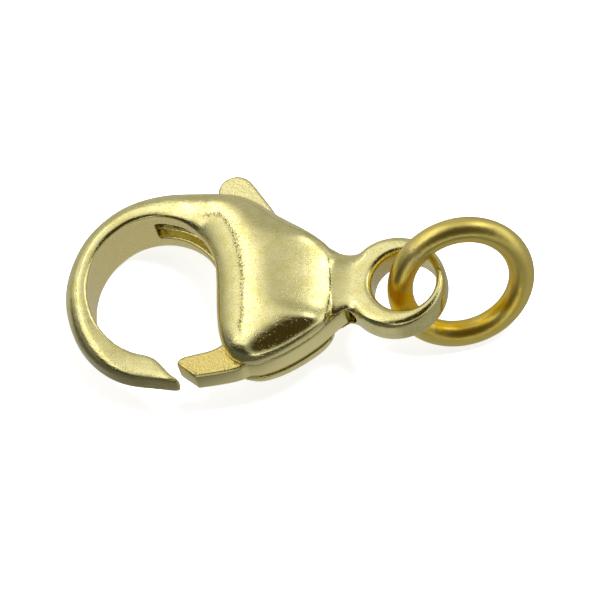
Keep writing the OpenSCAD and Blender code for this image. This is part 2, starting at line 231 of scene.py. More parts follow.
def tumbledGoldPlate():
    # height = dents + grain + marks + streaks along the hook - scratches - pits, in mm;
    # grain, scratches and the inner walls, which tumbling doesn't reach, are rougher
    material, tree = newMaterial("tumbledGoldPlate")
    look = tumbled
    place = millimetres(tree)
    dents = addNode(tree, "ShaderNodeTexNoise", {
        "Scale": 1 / look["dentWide"], "Detail": 1.0, "Roughness": 0.4}, {"Vector": place}).outputs[0]
    grain = addNode(tree, "ShaderNodeTexNoise", {
        "Scale": 1 / look["grainWide"], "Detail": 2.0, "Roughness": 0.6}, {"Vector": place}).outputs[0]
    marks = addNode(tree, "ShaderNodeTexVoronoi", {"Scale": 1 / look["markApart"]}, {"Vector": place})
    hook = addNode(tree, "ShaderNodeAttribute", {"attribute_name": "hookPlace"}).outputs["Vector"]
    onHook = addNode(tree, "ShaderNodeAttribute", {"attribute_name": "hookShare"}).outputs["Fac"]
    along = addNode(tree, "ShaderNodeMapping", {
        "Scale": (1 / look["streakLong"], 1 / look["streakWide"], 1 / look["streakWide"])},
        {"Vector": hook}).outputs[0]
    streaks = addNode(tree, "ShaderNodeTexNoise", {"Scale": 1.0, "Detail": 1.0}, {"Vector": along})
    streaks = addNode(tree, "ShaderNodeMath", {"operation": "MULTIPLY"},
                      {0: streaks.outputs[0], 1: onHook}).outputs[0]
    lines = []
    for turn in look["hairTurns"]:
        along = addNode(tree, "ShaderNodeMapping", {
            "Rotation": turn,
            "Scale": (1 / look["hairLong"], 1 / look["hairWide"], 1 / look["hairWide"])},
            {"Vector": place}).outputs[0]
        line = addNode(tree, "ShaderNodeTexNoise", {"Scale": 1.0, "Detail": 1.0}, {"Vector": along})
        lines.append(addNode(tree, "ShaderNodeMapRange", {
            "From Min": look["hairFrom"], "From Max": look["hairTo"]}, {"Value": line.outputs[0]}))
    hairs = addNode(tree, "ShaderNodeMath", {"operation": "MAXIMUM"},
                    {0: lines[0].outputs[0], 1: lines[1].outputs[0]}).outputs[0]
    cells = addNode(tree, "ShaderNodeTexVoronoi", {"Scale": 1 / look["pitApart"]}, {"Vector": place})
    reach = look["pitWide"] / look["pitApart"]
    dip = addNode(tree, "ShaderNodeMapRange", {
        "interpolation_type": "SMOOTHSTEP", "From Min": reach, "From Max": reach * 0.3},
        {"Value": cells.outputs["Distance"]})
    chosen = addNode(tree, "ShaderNodeMath", {"operation": "GREATER_THAN", 1: 1 - look["pitShare"]},
                     {0: cells.outputs["Color"]})
    pits = addNode(tree, "ShaderNodeMath", {"operation": "MULTIPLY"},
                   {0: dip.outputs[0], 1: chosen.outputs[0]}).outputs[0]
    height = addNode(tree, "ShaderNodeMath", {"operation": "MULTIPLY", 1: look["dentDeep"]},
                     {0: dents}).outputs[0]
    for pattern, deep in ((grain, look["grainDeep"]), (marks.outputs["Distance"], look["markDeep"]),
                          (streaks, look["streakDeep"]), (hairs, -look["hairDeep"]),
                          (pits, -look["pitDeep"])):
        height = addNode(tree, "ShaderNodeMath", {"operation": "MULTIPLY_ADD", 1: deep},
                         {0: pattern, 2: height}).outputs[0]
    rough = addNode(tree, "ShaderNodeMapRange", {
        "From Min": look["roughFrom"], "From Max": look["roughTo"],
        "To Min": look["rough"], "To Max": look["roughGrain"]}, {"Value": grain})
    rough = addNode(tree, "ShaderNodeMath", {
        "operation": "MULTIPLY_ADD", 1: look["hairRough"], "use_clamp": True},
        {0: hairs, 2: rough.outputs[0]}).outputs[0]
    inside = addNode(tree, "ShaderNodeAttribute", {"attribute_name": "innerShare"}).outputs["Fac"]
    rough = addNode(tree, "ShaderNodeMath", {"operation": "MULTIPLY_ADD", 1: look["roughInside"]},
                    {0: inside, 2: rough})
    wear = addNode(tree, "ShaderNodeMapRange", {
        "From Min": look["wearFrom"], "From Max": look["wearTo"]}, {"Value": dents})
    colour = addNode(tree, "ShaderNodeMix", {
        "data_type": "RGBA", 6: hexColour(look["colour"]), 7: hexColour(look["worn"])},
        {0: wear.outputs[0]})
    colour = addNode(tree, "ShaderNodeMix", {"data_type": "RGBA", 7: hexColour(look["inside"])},
                     {0: inside, 6: colour.outputs[2]})
    speckle = addNode(tree, "ShaderNodeMapRange", {
        "From Min": look["speckleFrom"], "From Max": look["speckleTo"],
        "To Min": 1 - look["speckle"], "To Max": 1.0}, {"Value": grain})
    colour = addNode(tree, "ShaderNodeVectorMath", {"operation": "SCALE"},
                     {0: colour.outputs[2], "Scale": speckle.outputs[0]})
    # painted shade: the colour darkens along the crease at the dome's foot
    dark = paintedCreaseShade(tree, place, grain)
    colour = addNode(tree, "ShaderNodeVectorMath", {"operation": "SCALE"},
                     {0: colour.outputs[0], "Scale": dark})
    finishMetal(tree, height, {}, {"Base Color": colour.outputs[0], "Roughness": rough.outputs[0]})
    return material


# Pale gold plate on stamped sheet brass: warm and satin where the press left the sheet's
# own grain, paler towards the tab's end, smooth on the sheared, rolled edges. The
# shear lines are drawn just coarse enough to be seen.
stamped = {"face": "ead581", "paleTab": "fbf0aa", "edge": "f7eca6", "rough": 0.3,
           "paleTabFrom": 1.6, "paleTabTo": 3.0, "grainWide": 0.085, "grainDeep": 0.02,
           "fineWide": 0.045, "fineDeep": 0.007,
           "edgeLong": 0.5, "edgeWide": 0.05, "edgeDeep": 0.0007}


def stampedGoldPlate():
    # height = faceShare * (grain + fine) + (1 - faceShare) * shear lines, in mm
    material, tree = newMaterial("stampedGoldPlate")
    look = stamped
    place = millimetres(tree)
    face = addNode(tree, "ShaderNodeAttribute", {"attribute_name": "sheetFace"}).outputs["Fac"]
    grain = addNode(tree, "ShaderNodeTexNoise", {
        "Scale": 1 / look["grainWide"], "Detail": 1.5, "Roughness": 0.5}, {"Vector": place}).outputs[0]
    fine = addNode(tree, "ShaderNodeTexNoise", {
        "Scale": 1 / look["fineWide"], "Detail": 1.0}, {"Vector": place}).outputs[0]
    coarse = addNode(tree, "ShaderNodeMath", {"operation": "MULTIPLY", 1: look["grainDeep"]},
                     {0: grain})
    sheet = addNode(tree, "ShaderNodeMath", {"operation": "MULTIPLY_ADD", 1: look["fineDeep"]},
                    {0: fine, 2: coarse.outputs[0]}).outputs[0]
    down = addNode(tree, "ShaderNodeMapping", {
        "Scale": (1 / look["edgeWide"], 1 / look["edgeWide"], 1 / look["edgeLong"])},
        {"Vector": place}).outputs[0]
    lines = addNode(tree, "ShaderNodeTexNoise", {"Scale": 1.0, "Detail": 1.0}, {"Vector": down})
    shear = addNode(tree, "ShaderNodeMath", {"operation": "MULTIPLY", 1: look["edgeDeep"]},
                    {0: lines.outputs[0]}).outputs[0]
    height = addNode(tree, "ShaderNodeMix", {"data_type": "FLOAT"},
                     {0: face, 2: shear, 3: sheet}).outputs[0]
    side = addNode(tree, "ShaderNodeSeparateXYZ", {}, {0: place}).outputs["Y"]
    # the face colour turns paler towards the tab's end, from y = 1.6 to 3 mm
    tab = addNode(tree, "ShaderNodeMapRange", {
        "From Min": look["paleTabFrom"], "From Max": look["paleTabTo"]}, {"Value": side})
    colour = addNode(tree, "ShaderNodeMix", {
        "data_type": "RGBA", 6: hexColour(look["face"]), 7: hexColour(look["paleTab"])},
        {0: tab.outputs[0]})
    colour = addNode(tree, "ShaderNodeMix", {"data_type": "RGBA", 6: hexColour(look["edge"])},
                     {0: face, 7: colour.outputs[2]})
    finishMetal(tree, height, {"Roughness": look["rough"]}, {"Base Color": colour.outputs[2]})
    return material


# Deeper gold plate on drawn brass wire: polished, with a painted orange reflection of gold on gold
# inside the ring and where it hangs in the eye, with faint draw lines along the wire, handling dents,
# and a duller, uneven spot where the ends are soldered. The draw lines are drawn just coarse enough to
# be seen.
# deep: the colour of the painted orange reflection
drawn = {"colour": "f2dd7a", "deep": "ffd21c", "warmFrom": 0.25, "warmTo": 0.65, "solder": "f0dc8a",
         "rough": 0.31, "roughSolder": 0.38, "lineWide": 0.06, "lineLong": 2.5, "lineDeep": 0.0016,
         "dentWide": 0.35, "dentDeep": 0.009,
         "scuffWide": 0.09, "scuffDeep": 0.016, "scuffShare": 0.36}


def drawnGoldWire():
    # height = draw lines + dents + scuffs * mix(scuffShare, 1, solderShare), in mm
    material, tree = newMaterial("drawnGoldWire")
    look = drawn
    place = millimetres(tree)
    wire = addNode(tree, "ShaderNodeAttribute", {"attribute_name": "wirePlace"}).outputs["Vector"]
    solder = addNode(tree, "ShaderNodeAttribute", {"attribute_name": "solderShare"}).outputs["Fac"]
    along = addNode(tree, "ShaderNodeMapping", {
        "Scale": (1 / look["lineWide"], 1 / look["lineWide"], 1 / look["lineLong"])},
        {"Vector": wire}).outputs[0]
    lines = addNode(tree, "ShaderNodeTexNoise", {"Scale": 1.0, "Detail": 1.0},
                    {"Vector": along}).outputs[0]
    dents = addNode(tree, "ShaderNodeTexNoise", {
        "Scale": 1 / look["dentWide"], "Detail": 1.5}, {"Vector": place}).outputs[0]
    scuffs = addNode(tree, "ShaderNodeTexNoise", {
        "Scale": 1 / look["scuffWide"], "Detail": 2.0}, {"Vector": place}).outputs[0]
    share = addNode(tree, "ShaderNodeMapRange", {"To Min": look["scuffShare"]}, {"Value": solder})
    scuffs = addNode(tree, "ShaderNodeMath", {"operation": "MULTIPLY"},
                     {0: scuffs, 1: share.outputs[0]}).outputs[0]
    height = addNode(tree, "ShaderNodeMath", {"operation": "MULTIPLY", 1: look["dentDeep"]},
                     {0: dents}).outputs[0]
    for pattern, deep in ((lines, look["lineDeep"]), (scuffs, look["scuffDeep"])):
        height = addNode(tree, "ShaderNodeMath", {"operation": "MULTIPLY_ADD", 1: deep},
                         {0: pattern, 2: height}).outputs[0]
    rough = addNode(tree, "ShaderNodeMapRange", {
        "To Min": look["rough"], "To Max": look["roughSolder"]}, {"Value": solder})
    # painted reflection: the colour turns orange inside the ring and in the eye, broken up by the dents
    deep = addNode(tree, "ShaderNodeAttribute", {"attribute_name": "paintedReflectionShare"}).outputs["Fac"]
    patch = addNode(tree, "ShaderNodeMapRange", {
        "From Min": look["warmFrom"], "From Max": look["warmTo"]}, {"Value": dents})
    patch = addNode(tree, "ShaderNodeMath", {"operation": "MULTIPLY"}, {0: patch.outputs[0], 1: deep})
    colour = addNode(tree, "ShaderNodeMix", {
        "data_type": "RGBA", 6: hexColour(look["colour"]), 7: hexColour(look["deep"])},
        {0: patch.outputs[0]})
    colour = addNode(tree, "ShaderNodeMix", {"data_type": "RGBA", 7: hexColour(look["solder"])},
                     {0: solder, 6: colour.outputs[2]})
    finishMetal(tree, height, {}, {"Base Color": colour.outputs[2], "Roughness": rough.outputs[0]})
    return material


# The pin's end: brass plated with the claw and dressed after pressing, so it is duller,
# with the fine rings that the tool leaves, drawn just coarse enough to be seen.
dressed = {"colour": "e9dc98", "rough": 0.154, "roughRing": 0.33,
           "ringWide": 0.05, "ringDeep": 0.0012}


def dressedPinEnd():
    # height = ringDeep * noise of the distance from the pin's middle
    material, tree = newMaterial("dressedPinEnd")
    across = addNode(tree, "ShaderNodeAttribute", {"attribute_name": "fromMiddle"}).outputs["Fac"]
    rings = addNode(tree, "ShaderNodeTexNoise", {
        "noise_dimensions": "1D", "Scale": 1 / dressed["ringWide"], "Detail": 2.0},
        {"W": across}).outputs[0]
    height = addNode(tree, "ShaderNodeMath", {"operation": "MULTIPLY", 1: dressed["ringDeep"]},
                     {0: rings}).outputs[0]
    rough = addNode(tree, "ShaderNodeMapRange", {
        "To Min": dressed["rough"], "To Max": dressed["roughRing"]}, {"Value": rings})
    finishMetal(tree, height, {"Base Color": hexColour(dressed["colour"])},
                {"Roughness": rough.outputs[0]})
    return material


# The claw: body and hook are one skin, to which the neck and the eye are joined
claw = {
    "bodyLength": 4.9, "bodyWidth": 7.0, "bodyThick": 3.4, "lipThick": 1.5,
    "hookLength": 5.05, "hookWidth": 5.65, "hookHeight": 2.4, "hookWall": 0.98,
    "rootWall": 1.42, "tipThick": 1.04, "tipReach": 1.19,
    "eyeOuter": 4.0, "eyeHole": 2.5, "eyeBack": 0.36, "eyeThick": 1.38, "eyeEdge": 0.36,
    "eyePower": 3.2, "eyeRim": 0.2, "rimShare": 0.8, "rimPower": 1.3, "eyeOffset": 2.35,
    "neckEnds": (-3.1, -1.45), "neckFar": 1.39, "neckNear": 1.27, "neckMiddle": -2.19,
    "neckHollow": 1.0, "hollowNear": 0.85, "neckFoot": -2.8, "neckRise": 0.115, "neckFall": 0.81,
    "neckPower": 3.2, "gatePower": (3.0, 5.5), "gateSquare": (-2.7, 0.5),
    "gateSlope": 0.845, "gateSlopeFrom": -2.17,
    "slotHeight": 1.1, "slotEnd": (0.3, 0.5), "tabLead": 0.3, "tabGap": 0.1,
    "recessLength": 2.3, "recessDepth": 0.45, "pivot": (0.64, -0.37), "pinBore": 0.94,
    "rowSteps": 8, "quarterSteps": 14, "voxel": 0.058,
    "easeRounds": 3, "crestRounds": 60, "footRounds": 24,
    # fades, each a start and a width in mm, that bound the dome's crest and its foot
    "crestEnds": ((-5.95, 0.3), (-4.45, -0.3)), "crestHigh": (1.2, 0.2), "crestSide": (-1.75, 0.4),
    "footEnds": ((-3.08, 0.2), (-1.55, -0.15)), "footSides": ((-1.3, 0.2), (1.9, -0.3)),
    "footSlot": (0.05, 0.12),
    # the dull cast walls: shares of the hook's inside and height, the slot's ends, the eye's hole
    "dullReach": 1.05, "dullHigh": 0.85, "dullSlot": (0.15, -2.6), "dullHole": 0.7}
faceX = -claw["eyeOffset"] - claw["bodyLength"]
hookX = faceX - claw["hookLength"] / 2


def inBody(x, y):
    # shares of the body's length and half width
    return (faceX + x * claw["bodyLength"], y * claw["bodyWidth"] / 2)


def roundHook(angle, wall=0.0):
    # ellipse (a cos t, b sin t) about the hook's middle, plus wall * its unit normal
    t = np.radians(angle)
    a, b = claw["hookLength"] / 2, claw["hookWidth"] / 2
    normal = np.array([np.cos(t) / a, np.sin(t) / b])
    normal /= np.hypot(*normal)
    return (hookX + a * np.cos(t) + wall * normal[0], b * np.sin(t) + wall * normal[1])


def inTip(x, y):
    # shares of the tip's reach and of the hook's wall, from the foot of the hook's ellipse
    return (hookX + x * claw["tipReach"], -claw["hookWidth"] / 2 + y * claw["hookWall"])


def clawRows():
    # per row: inner place, outer place, half heights of the inner edge, the outer edge
    # and the crown, the crown's share of the way across, inner and outer roundness
    lip, crown = claw["lipThick"] / 2, claw["bodyThick"] / 2
    hook, tip = claw["hookHeight"] / 2, claw["tipThick"] / 2
    wall, root = claw["hookWall"], claw["rootWall"]
    body = [
        (inBody(0.163, -0.93), inBody(0.235, -0.98), lip, lip, mix(lip, crown, 0.04), 0.5, 0.68, 1),
        (inBody(0.092, -0.81), inBody(0.398, -0.965), lip, lip, mix(lip, crown, 0.52), 0.5, 0.68, 1),
        (inBody(0.047, -0.63), inBody(0.622, -0.825), lip, lip, mix(lip, crown, 0.82), 0.5, 0.68, 1),
        (inBody(0.022, -0.41), inBody(0.857, -0.57), lip, lip, mix(lip, crown, 0.96), 0.48, 0.68, 1),
        (inBody(0.01, -0.19), inBody(0.918, -0.36), mix(lip, hook, 0.1), lip, crown, 0.455, 0.68, 1.5),
        (roundHook(1), inBody(0.928, 0.02), mix(lip, hook, 0.2), lip * 0.95, crown, 0.45, 0.7, 1.66),
        (roundHook(15), inBody(0.893, 0.37), mix(lip, hook, 0.3), lip, crown * 0.99, 0.455, 0.68, 1.48),
        (roundHook(27), inBody(0.785, 0.56), mix(lip, hook, 0.4), lip * 0.62, crown * 0.97,
         0.48, 0.74, 0.95),
        (roundHook(38), inBody(0.49, 0.825), mix(lip, hook, 0.44), lip * 0.5, crown * 0.93,
         0.52, 1.05, 0.95),
        (roundHook(50), inBody(0.18, 1.085), mix(lip, hook, 0.55), lip * 0.42, crown * 0.89,
         0.6, 1.5, 0.9)]
    # angle, wall, the half heights as shares of the hook's, then the place and roundness
    bend = [(69, root * 1.07, 0.92, 0.225, 1.13, 0.46, 1.1, 0.86),
            (91, mix(wall, root, 0.42), 0.93, 0.21, 1.07, 0.34, 0.86, 0.86),
            (114, mix(wall, root, 0.1), 0.93, 0.21, 1.04, 0.32, 0.82, 0.9),
            (138, wall * 0.97, 0.93, 0.21, 1.03, 0.32, 0.82, 0.92),
            (160, wall * 0.95, 0.92, 0.21, 1.01, 0.32, 0.82, 0.94),
            (182, wall * 0.98, 0.87, 0.21, 0.98, 0.32, 0.82, 0.94)]
    rows = body + [(roundHook(a), roundHook(a, w), hook * i, hook * o, hook * c, p, k, m)
                   for a, w, i, o, c, p, k, m in bend]
    # angle, wall, how far the inner edge and crown are from the tip's half height towards the
    # hook's, with the outer edge's share of the tip's between them, then the same
    thinning = [(202, wall, 0.6, 0.36, 0.8, 0.33, 0.66, 0.96),
                (220, wall * 1.02, 0.38, 0.36, 0.54, 0.34, 0.56, 0.92),
                (238, wall * 1.03, 0.16, 0.42, 0.3, 0.38, 0.42, 0.8),
                (255, wall * 1.04, -0.03, 0.5, 0.1, 0.42, 0.34, 0.64)]
    rows += [(roundHook(a), roundHook(a, w), mix(tip, hook, i), tip * o, mix(tip, hook, c), p, k, m)
             for a, w, i, o, c, p, k, m in thinning]
    rows += [(inTip(0.14, -0.16), inTip(0.3, -1.12), tip * 0.9, tip * 0.6, tip, 0.45, 0.3, 0.52),
             (inTip(0.7, -0.86), inTip(0.84, -1.2), tip * 0.88, tip * 0.66, tip * 0.95, 0.5, 0.3, 0.48),
             (inTip(0.9, -1.02), inTip(0.97, -1.16), tip * 0.7, tip * 0.55, tip * 0.8, 0.5, 0.45, 0.45),
             (inTip(1.0, -1.08), inTip(1.02, -1.12), tip * 0.35, tip * 0.3, tip * 0.4, 0.5, 0.6, 0.6)]
    return np.array([[*inner, *outer, *rest] for inner, outer, *rest in rows])


def rowsBetween(rows, steps):
    # (2b + (c-a)t + (2a-5b+4c-d)t^2 + (3b-a-3c+d)t^3) / 2, a smooth curve through all rows
    padded = np.vstack([2 * rows[0] - rows[1], rows, 2 * rows[-1] - rows[-2]])
    s = np.linspace(0, len(rows) - 1, (len(rows) - 1) * steps + 1)
    i = np.minimum(s.astype(int), len(rows) - 2)
    t = (s - i)[:, None]
    a, b, c, d = padded[i], padded[i + 1], padded[i + 2], padded[i + 3]
    return (2 * b + (c - a) * t + (2 * a - 5 * b + 4 * c - d) * t ** 2
            + (3 * b - a - 3 * c + d) * t ** 3) / 2


def crownedSkin(rows, quarter):
    # over the top, from the inner edge up to the crown: across = place * (1 - cos f), and
    # down to the outer edge: 1 - (1 - place) * (1 - cos^k f); height = edge + (crown - edge)
    # * sin^k f, mirrored below
    f = np.radians(np.linspace(0, 90, quarter + 1))
    column = rows[:, :, None]
    innerEdge, outerEdge, crown, place, innerRound, outerRound = (column[:, k] for k in range(4, 10))
    up = place * (1 - np.cos(f))
    upHeight = mix(innerEdge, crown, np.sin(f) ** innerRound)
    down = 1 - (1 - place) * (1 - np.cos(f) ** outerRound)
    downHeight = mix(outerEdge, crown, np.sin(f) ** outerRound)
    across = np.hstack([up, down[:, -2::-1]])
    height = np.hstack([upHeight, downHeight[:, -2::-1]])
    x = mix(column[:, 0], column[:, 2], across)
    y = mix(column[:, 1], column[:, 3], across)
    top = np.stack([x, y, height], 2)
    bottom = np.stack([x, y, -height], 2)[:, ::-1]
    return closedTube(np.concatenate([top, bottom], 1))


def turned(profile, centre, count):
    # (r cos t, r sin t, z) about an upright axis; the profile starts and ends off the axis
    t = np.linspace(0, 2 * np.pi, count, endpoint=False)[:, None]
    r, z = profile[:, 0], profile[:, 1]
    points = np.stack([centre[0] + r * np.cos(t), centre[1] + r * np.sin(t), z + 0 * t], 2)
    n = len(profile)
    faces = gridFaces(count, n, closeRows=True).tolist()
    faces.append([i * n for i in range(count)])
    faces.append([i * n + n - 1 for i in range(count)][::-1])
    return points.reshape(-1, 3), faces


def eyeDisc():
    # a disc with a superellipse's edge: r = outer - edge * (1 - |cos f|^(2 / power)) and
    # z = half * |sin f|^(2 / power), with the sign of f
    half, outer, edge = claw["eyeThick"] / 2, claw["eyeOuter"] / 2, claw["eyeEdge"]
    f = np.radians(np.linspace(-90, 90, 49))
    r = outer - edge + edge * np.abs(np.cos(f)) ** (2 / claw["eyePower"])
    z = half * np.sign(np.sin(f)) * np.abs(np.sin(f)) ** (2 / claw["eyePower"])
    return turned(np.stack([r, z], 1), (-claw["eyeBack"], 0), 128)


def eyeHole():
    # a spool with a broken rim: r = hole + share * rim * u^power, u from 0 to 1 over the rim
    half, hole, rim = claw["eyeThick"] / 2, claw["eyeHole"] / 2, claw["eyeRim"]
    z = np.concatenate([[-half - 0.3], np.linspace(-half, half, 49), [half + 0.3]])
    u = np.clip((np.abs(z) - half + rim) / rim, 0, 1)
    r = hole + claw["rimShare"] * rim * u ** claw["rimPower"]
    return turned(np.stack([r, z], 1), (0, 0), 128)


def waisted(x, half, hollow):
    # half + hollow - sqrt(hollow^2 - (x - middle)^2), a hollow that runs into the eye's side
    # and straightens out before the circle would turn back
    off = np.clip((x - claw["neckMiddle"]) / hollow, -0.72, 0.6)
    return half + hollow - hollow * np.sqrt(1 - off ** 2)


def neck():
    # sections across the claw, |y / w|^p + |z / h|^p = 1, squarer towards the gate's side;
    # h = eye half + rise * (1 - s)^2 comes down from the dome and runs into the eye's face
    half = claw["eyeThick"] / 2
    x = np.linspace(*claw["neckEnds"], 37)[:, None]
    far = waisted(x, claw["neckFar"], claw["neckHollow"])
    near = waisted(x, claw["neckNear"], claw["hollowNear"])
    slope = claw["neckNear"] + claw["gateSlope"] * (claw["gateSlopeFrom"] - x)
    near = np.maximum(near, slope)  # runs into the gate side's edge
    share = np.clip((x - claw["neckFoot"]) / claw["neckFall"], -0.1, 1)
    height = half + claw["neckRise"] * (1 - share) ** 2
    t = np.linspace(0, 2 * np.pi, 96, endpoint=False)[None]
    gatePower = mix(*claw["gatePower"], fade(x, *claw["gateSquare"]))
    power = np.where(np.cos(t) < 0, gatePower, claw["neckPower"])
    y = np.where(np.cos(t) < 0, near, far) * np.sign(np.cos(t)) * np.abs(np.cos(t)) ** (2 / power)
    z = height * np.sign(np.sin(t)) * np.abs(np.sin(t)) ** (2 / power)
    return closedTube(np.stack([x + 0 * t, y, z], 2))


def slotCutter():
    # an upright wall round the slot's outline, closed by a flat face above and below
    half = claw["slotHeight"] / 2
    tabX = faceX - claw["tabLead"]
    rootX = tabX - claw["tabGap"]
    endX = rootX - claw["recessLength"]
    first = np.degrees(np.arccos((rootX - hookX) / (claw["hookLength"] / 2 + claw["recessDepth"])))
    last = np.degrees(np.arccos((endX - hookX) / (claw["hookLength"] / 2)))
    back = [inBody(1.038, -2), inBody(1.038, -0.26), inBody(0.85, 0.46), inBody(0.85, 0.6),
            inBody(1.03, 0.8), inBody(1.03, 2), (rootX, claw["bodyWidth"])]
    recess = [roundHook(a, claw["recessDepth"]) for a in np.linspace(first, last, 25)]
    front = [roundHook(last, -claw["recessDepth"]), inBody(-0.12, 0), inBody(-0.12, -2)]
    outline = np.array(back + recess + front)
    levels = np.array([-half, half])[:, None]
    points = np.stack([outline[:, 0] + 0 * levels, outline[:, 1] + 0 * levels,
                       levels + 0 * outline[:, 0]], 2)
    return closedTube(points)


def slotEnd():
    # the slot's round end at the neck, (x, z) = (a cos t, b sin t), carried across the claw
    t = np.linspace(0, 2 * np.pi, 48, endpoint=False)
    y = np.array([-2.2, -0.9])[:, None]
    x = inBody(1.036, 0)[0] + claw["slotEnd"][0] * np.cos(t)
    return closedTube(np.stack([x + 0 * y, y + 0 * x, claw["slotEnd"][1] * np.sin(t) + 0 * y], 2))


def pinBore():
    # a straight hole from below the back face to under the top face
    wall = np.array([(claw["pinBore"] / 2, -2.5), (claw["pinBore"] / 2, 1.2)])
    return turned(wall, inBody(*claw["pivot"]), 64)


def eased(points, faces, share, rounds):
    # every round: p + share * (the mean of p's neighbours - p)
    quads = np.array(faces)
    here, there = quads.ravel(), np.roll(quads, -1, axis=1).ravel()
    here, there = np.concatenate([here, there]), np.concatenate([there, here])
    count = np.bincount(here, minlength=len(points))[:, None]
    for _ in range(rounds):
        total = np.stack([np.bincount(here, points[there, k], len(points)) for k in range(3)], 1)
        points = points + share[:, None] * (total / count - points)
    return points


def buildClaw():
    # skin + neck + eye - hole - slot - bore, remeshed in voxels and eased: all over, then
    # with shares of 0.5 * the product of each zone's fades
    rows = rowsBetween(clawRows(), claw["rowSteps"])
    skin = flatObject("skin", *crownedSkin(rows, claw["quarterSteps"]))
    tools = [("UNION", flatObject("neckPart", *neck())), ("UNION", flatObject("eyePart", *eyeDisc())),
             ("DIFFERENCE", flatObject("holePart", *eyeHole())),
             ("DIFFERENCE", flatObject("slotPart", *slotCutter())),
             ("DIFFERENCE", flatObject("slotEndPart", *slotEnd())),
             ("DIFFERENCE", flatObject("borePart", *pinBore()))]
    for operation, tool in tools:
        cut = skin.modifiers.new(tool.name, "BOOLEAN")
        cut.operation, cut.object, cut.solver = operation, tool, "EXACT"
    remesh = skin.modifiers.new("remesh", "REMESH")
    remesh.mode, remesh.voxel_size = "VOXEL", claw["voxel"]
    points, faces = appliedMesh(skin)
    dropObjects(skin, *(tool for _, tool in tools))
    points = eased(points, faces, np.full(len(points), 0.5), claw["easeRounds"])
    # more along the dome's crest, where its two slopes meet, above and below
    x, y, z = points.T
    left, right = (fade(x, *end) for end in claw["crestEnds"])
    crest = left * right * fade(np.abs(z), *claw["crestHigh"]) * fade(y, *claw["crestSide"])
    points = eased(points, faces, 0.5 * crest, claw["crestRounds"])
    # and at the dome's foot and on the neck, away from the eye and the slot
    x, y, z = points.T
    left, right = (fade(x, *end) for end in claw["footEnds"])
    near, far = (fade(y, *side) for side in claw["footSides"])
    slot = fade(np.abs(z) - claw["slotHeight"] / 2 + y, *claw["footSlot"])
    return eased(points, faces, 0.5 * left * right * slot * near * far, claw["footRounds"]), faces


def innerShare(points):
    # 1 on the cast walls that tumbling doesn't reach: the hook's inside, where
    # (x / a)^2 + (y / b)^2 < dullReach^2, the slot, and in part the eye's hole
    x, y, z = points.T
    a, b = claw["hookLength"] / 2, claw["hookWidth"] / 2
    out = np.sqrt(((x - hookX) / a) ** 2 + (y / b) ** 2)
    up = np.abs(z)
    first, last = claw["dullSlot"]
    wall = (fade(out, claw["dullReach"], -0.03)
            * fade(up, claw["dullHigh"] * claw["hookHeight"] / 2, -0.1))
    slot = (fade(up, claw["slotHeight"] / 2 + 0.02, -0.03)
            * fade(x, faceX + first, 0.1) * fade(x, last, -0.1))
    hole = (fade(np.hypot(x, y), claw["eyeHole"] / 2 + 0.1, -0.08)
            * fade(up, claw["eyeThick"] / 2 - claw["eyeRim"], -0.1))
    return np.maximum(np.maximum(wall, slot), claw["dullHole"] * hole)


def hookPlace(points):
    # (atan2(y, x) * hook's half width, hypot(x, y), z) about the hook's middle, in mm, and a
    # share that is 1 on the hook and falls to 0 at the body
    x, y, z = points.T
    turn = np.mod(np.arctan2(y, x - hookX), 2 * np.pi)
    place = np.stack([turn * claw["hookWidth"] / 2, np.hypot(x - hookX, y), z], 1)
    return place, fade(x, faceX - 0.2, -0.8)


clawPoints, clawFaces = buildClaw()
alongHook, onHook = hookPlace(clawPoints)
addPiece("polishedClaw", clawPoints, clawFaces, tumbledGoldPlate(), "clasp", "claw",
         {"innerShare": innerShare(clawPoints), "hookPlace": alongHook, "hookShare": onHook})

# The lever: a flat stamping with broken edges, from the gate along the body to the tab
lever = {"thick": 1.0, "edge": 0.12, "gateReach": 1.43, "gateWidth": 0.98, "setback": 0.03,
         "tabWidth": 2.38, "tabStand": 1.43, "bore": 0.98, "faceFrom": 0.03, "faceSoft": 0.025}
gateLow = inBody(0, -1.112)[1]


def inGate(x, y):
    # shares of the gate's reach from its tip, and of its width
    return (faceX - lever["gateReach"] * (1 - x), gateLow + y * lever["gateWidth"])


def leverOutline():
    # gate, the edge set back from the body's, the hidden back, tab, front, gate again
    under = [inGate(0, 0.64), inGate(0.03, 0.55), inGate(0.52, 0.02), inGate(0.56, 0),
             inGate(1.66, 0.24)]
    rows = rowsBetween(clawRows(), claw["rowSteps"])[2:24]
    back = rows[:, 0:2] - rows[:, 2:4]
    back /= np.linalg.norm(back, axis=1)[:, None]
    along = rows[:, 2:4] + lever["setback"] * back
    tabShares = [(1.04, -0.35), (0.93, -0.06), (0.77, 0.3), (0.61, 0.66), (0.51, 0.86), (0.41, 0.96),
                 (0.3, 1.0), (0.18, 0.96), (0.08, 0.85), (0.015, 0.68), (0, 0.46)]
    tab = [(faceX - claw["tabLead"] + x * lever["tabWidth"],
            claw["bodyWidth"] / 2 + y * lever["tabStand"]) for x, y in tabShares]
    hidden = [inBody(0.93, -0.46), inBody(1.0, -0.37), inBody(1.03, -0.32), inBody(1.01, -0.25),
              inBody(0.95, -0.18), inBody(0.86, -0.08), inBody(0.72, 0.1), inBody(0.54, 0.45)]
    front = [inBody(-0.02, 0.7), inBody(0.06, 0.3), inBody(0.13, -0.1), inBody(0.13, -0.5)]
    over = [inGate(1.2, 1.27), inGate(0.26, 0.98), inGate(0.12, 0.91), inGate(0.02, 0.77)]
    outline = np.array(under + along.tolist() + hidden + tab + front + over)
    for _ in range(3):  # corner cutting: 3/4 p + 1/4 q and 1/4 p + 3/4 q
        after = np.roll(outline, -1, axis=0)
        outline = np.stack([0.75 * outline + 0.25 * after, 0.25 * outline + 0.75 * after], 1)
        outline = outline.reshape(-1, 2)
    return outline


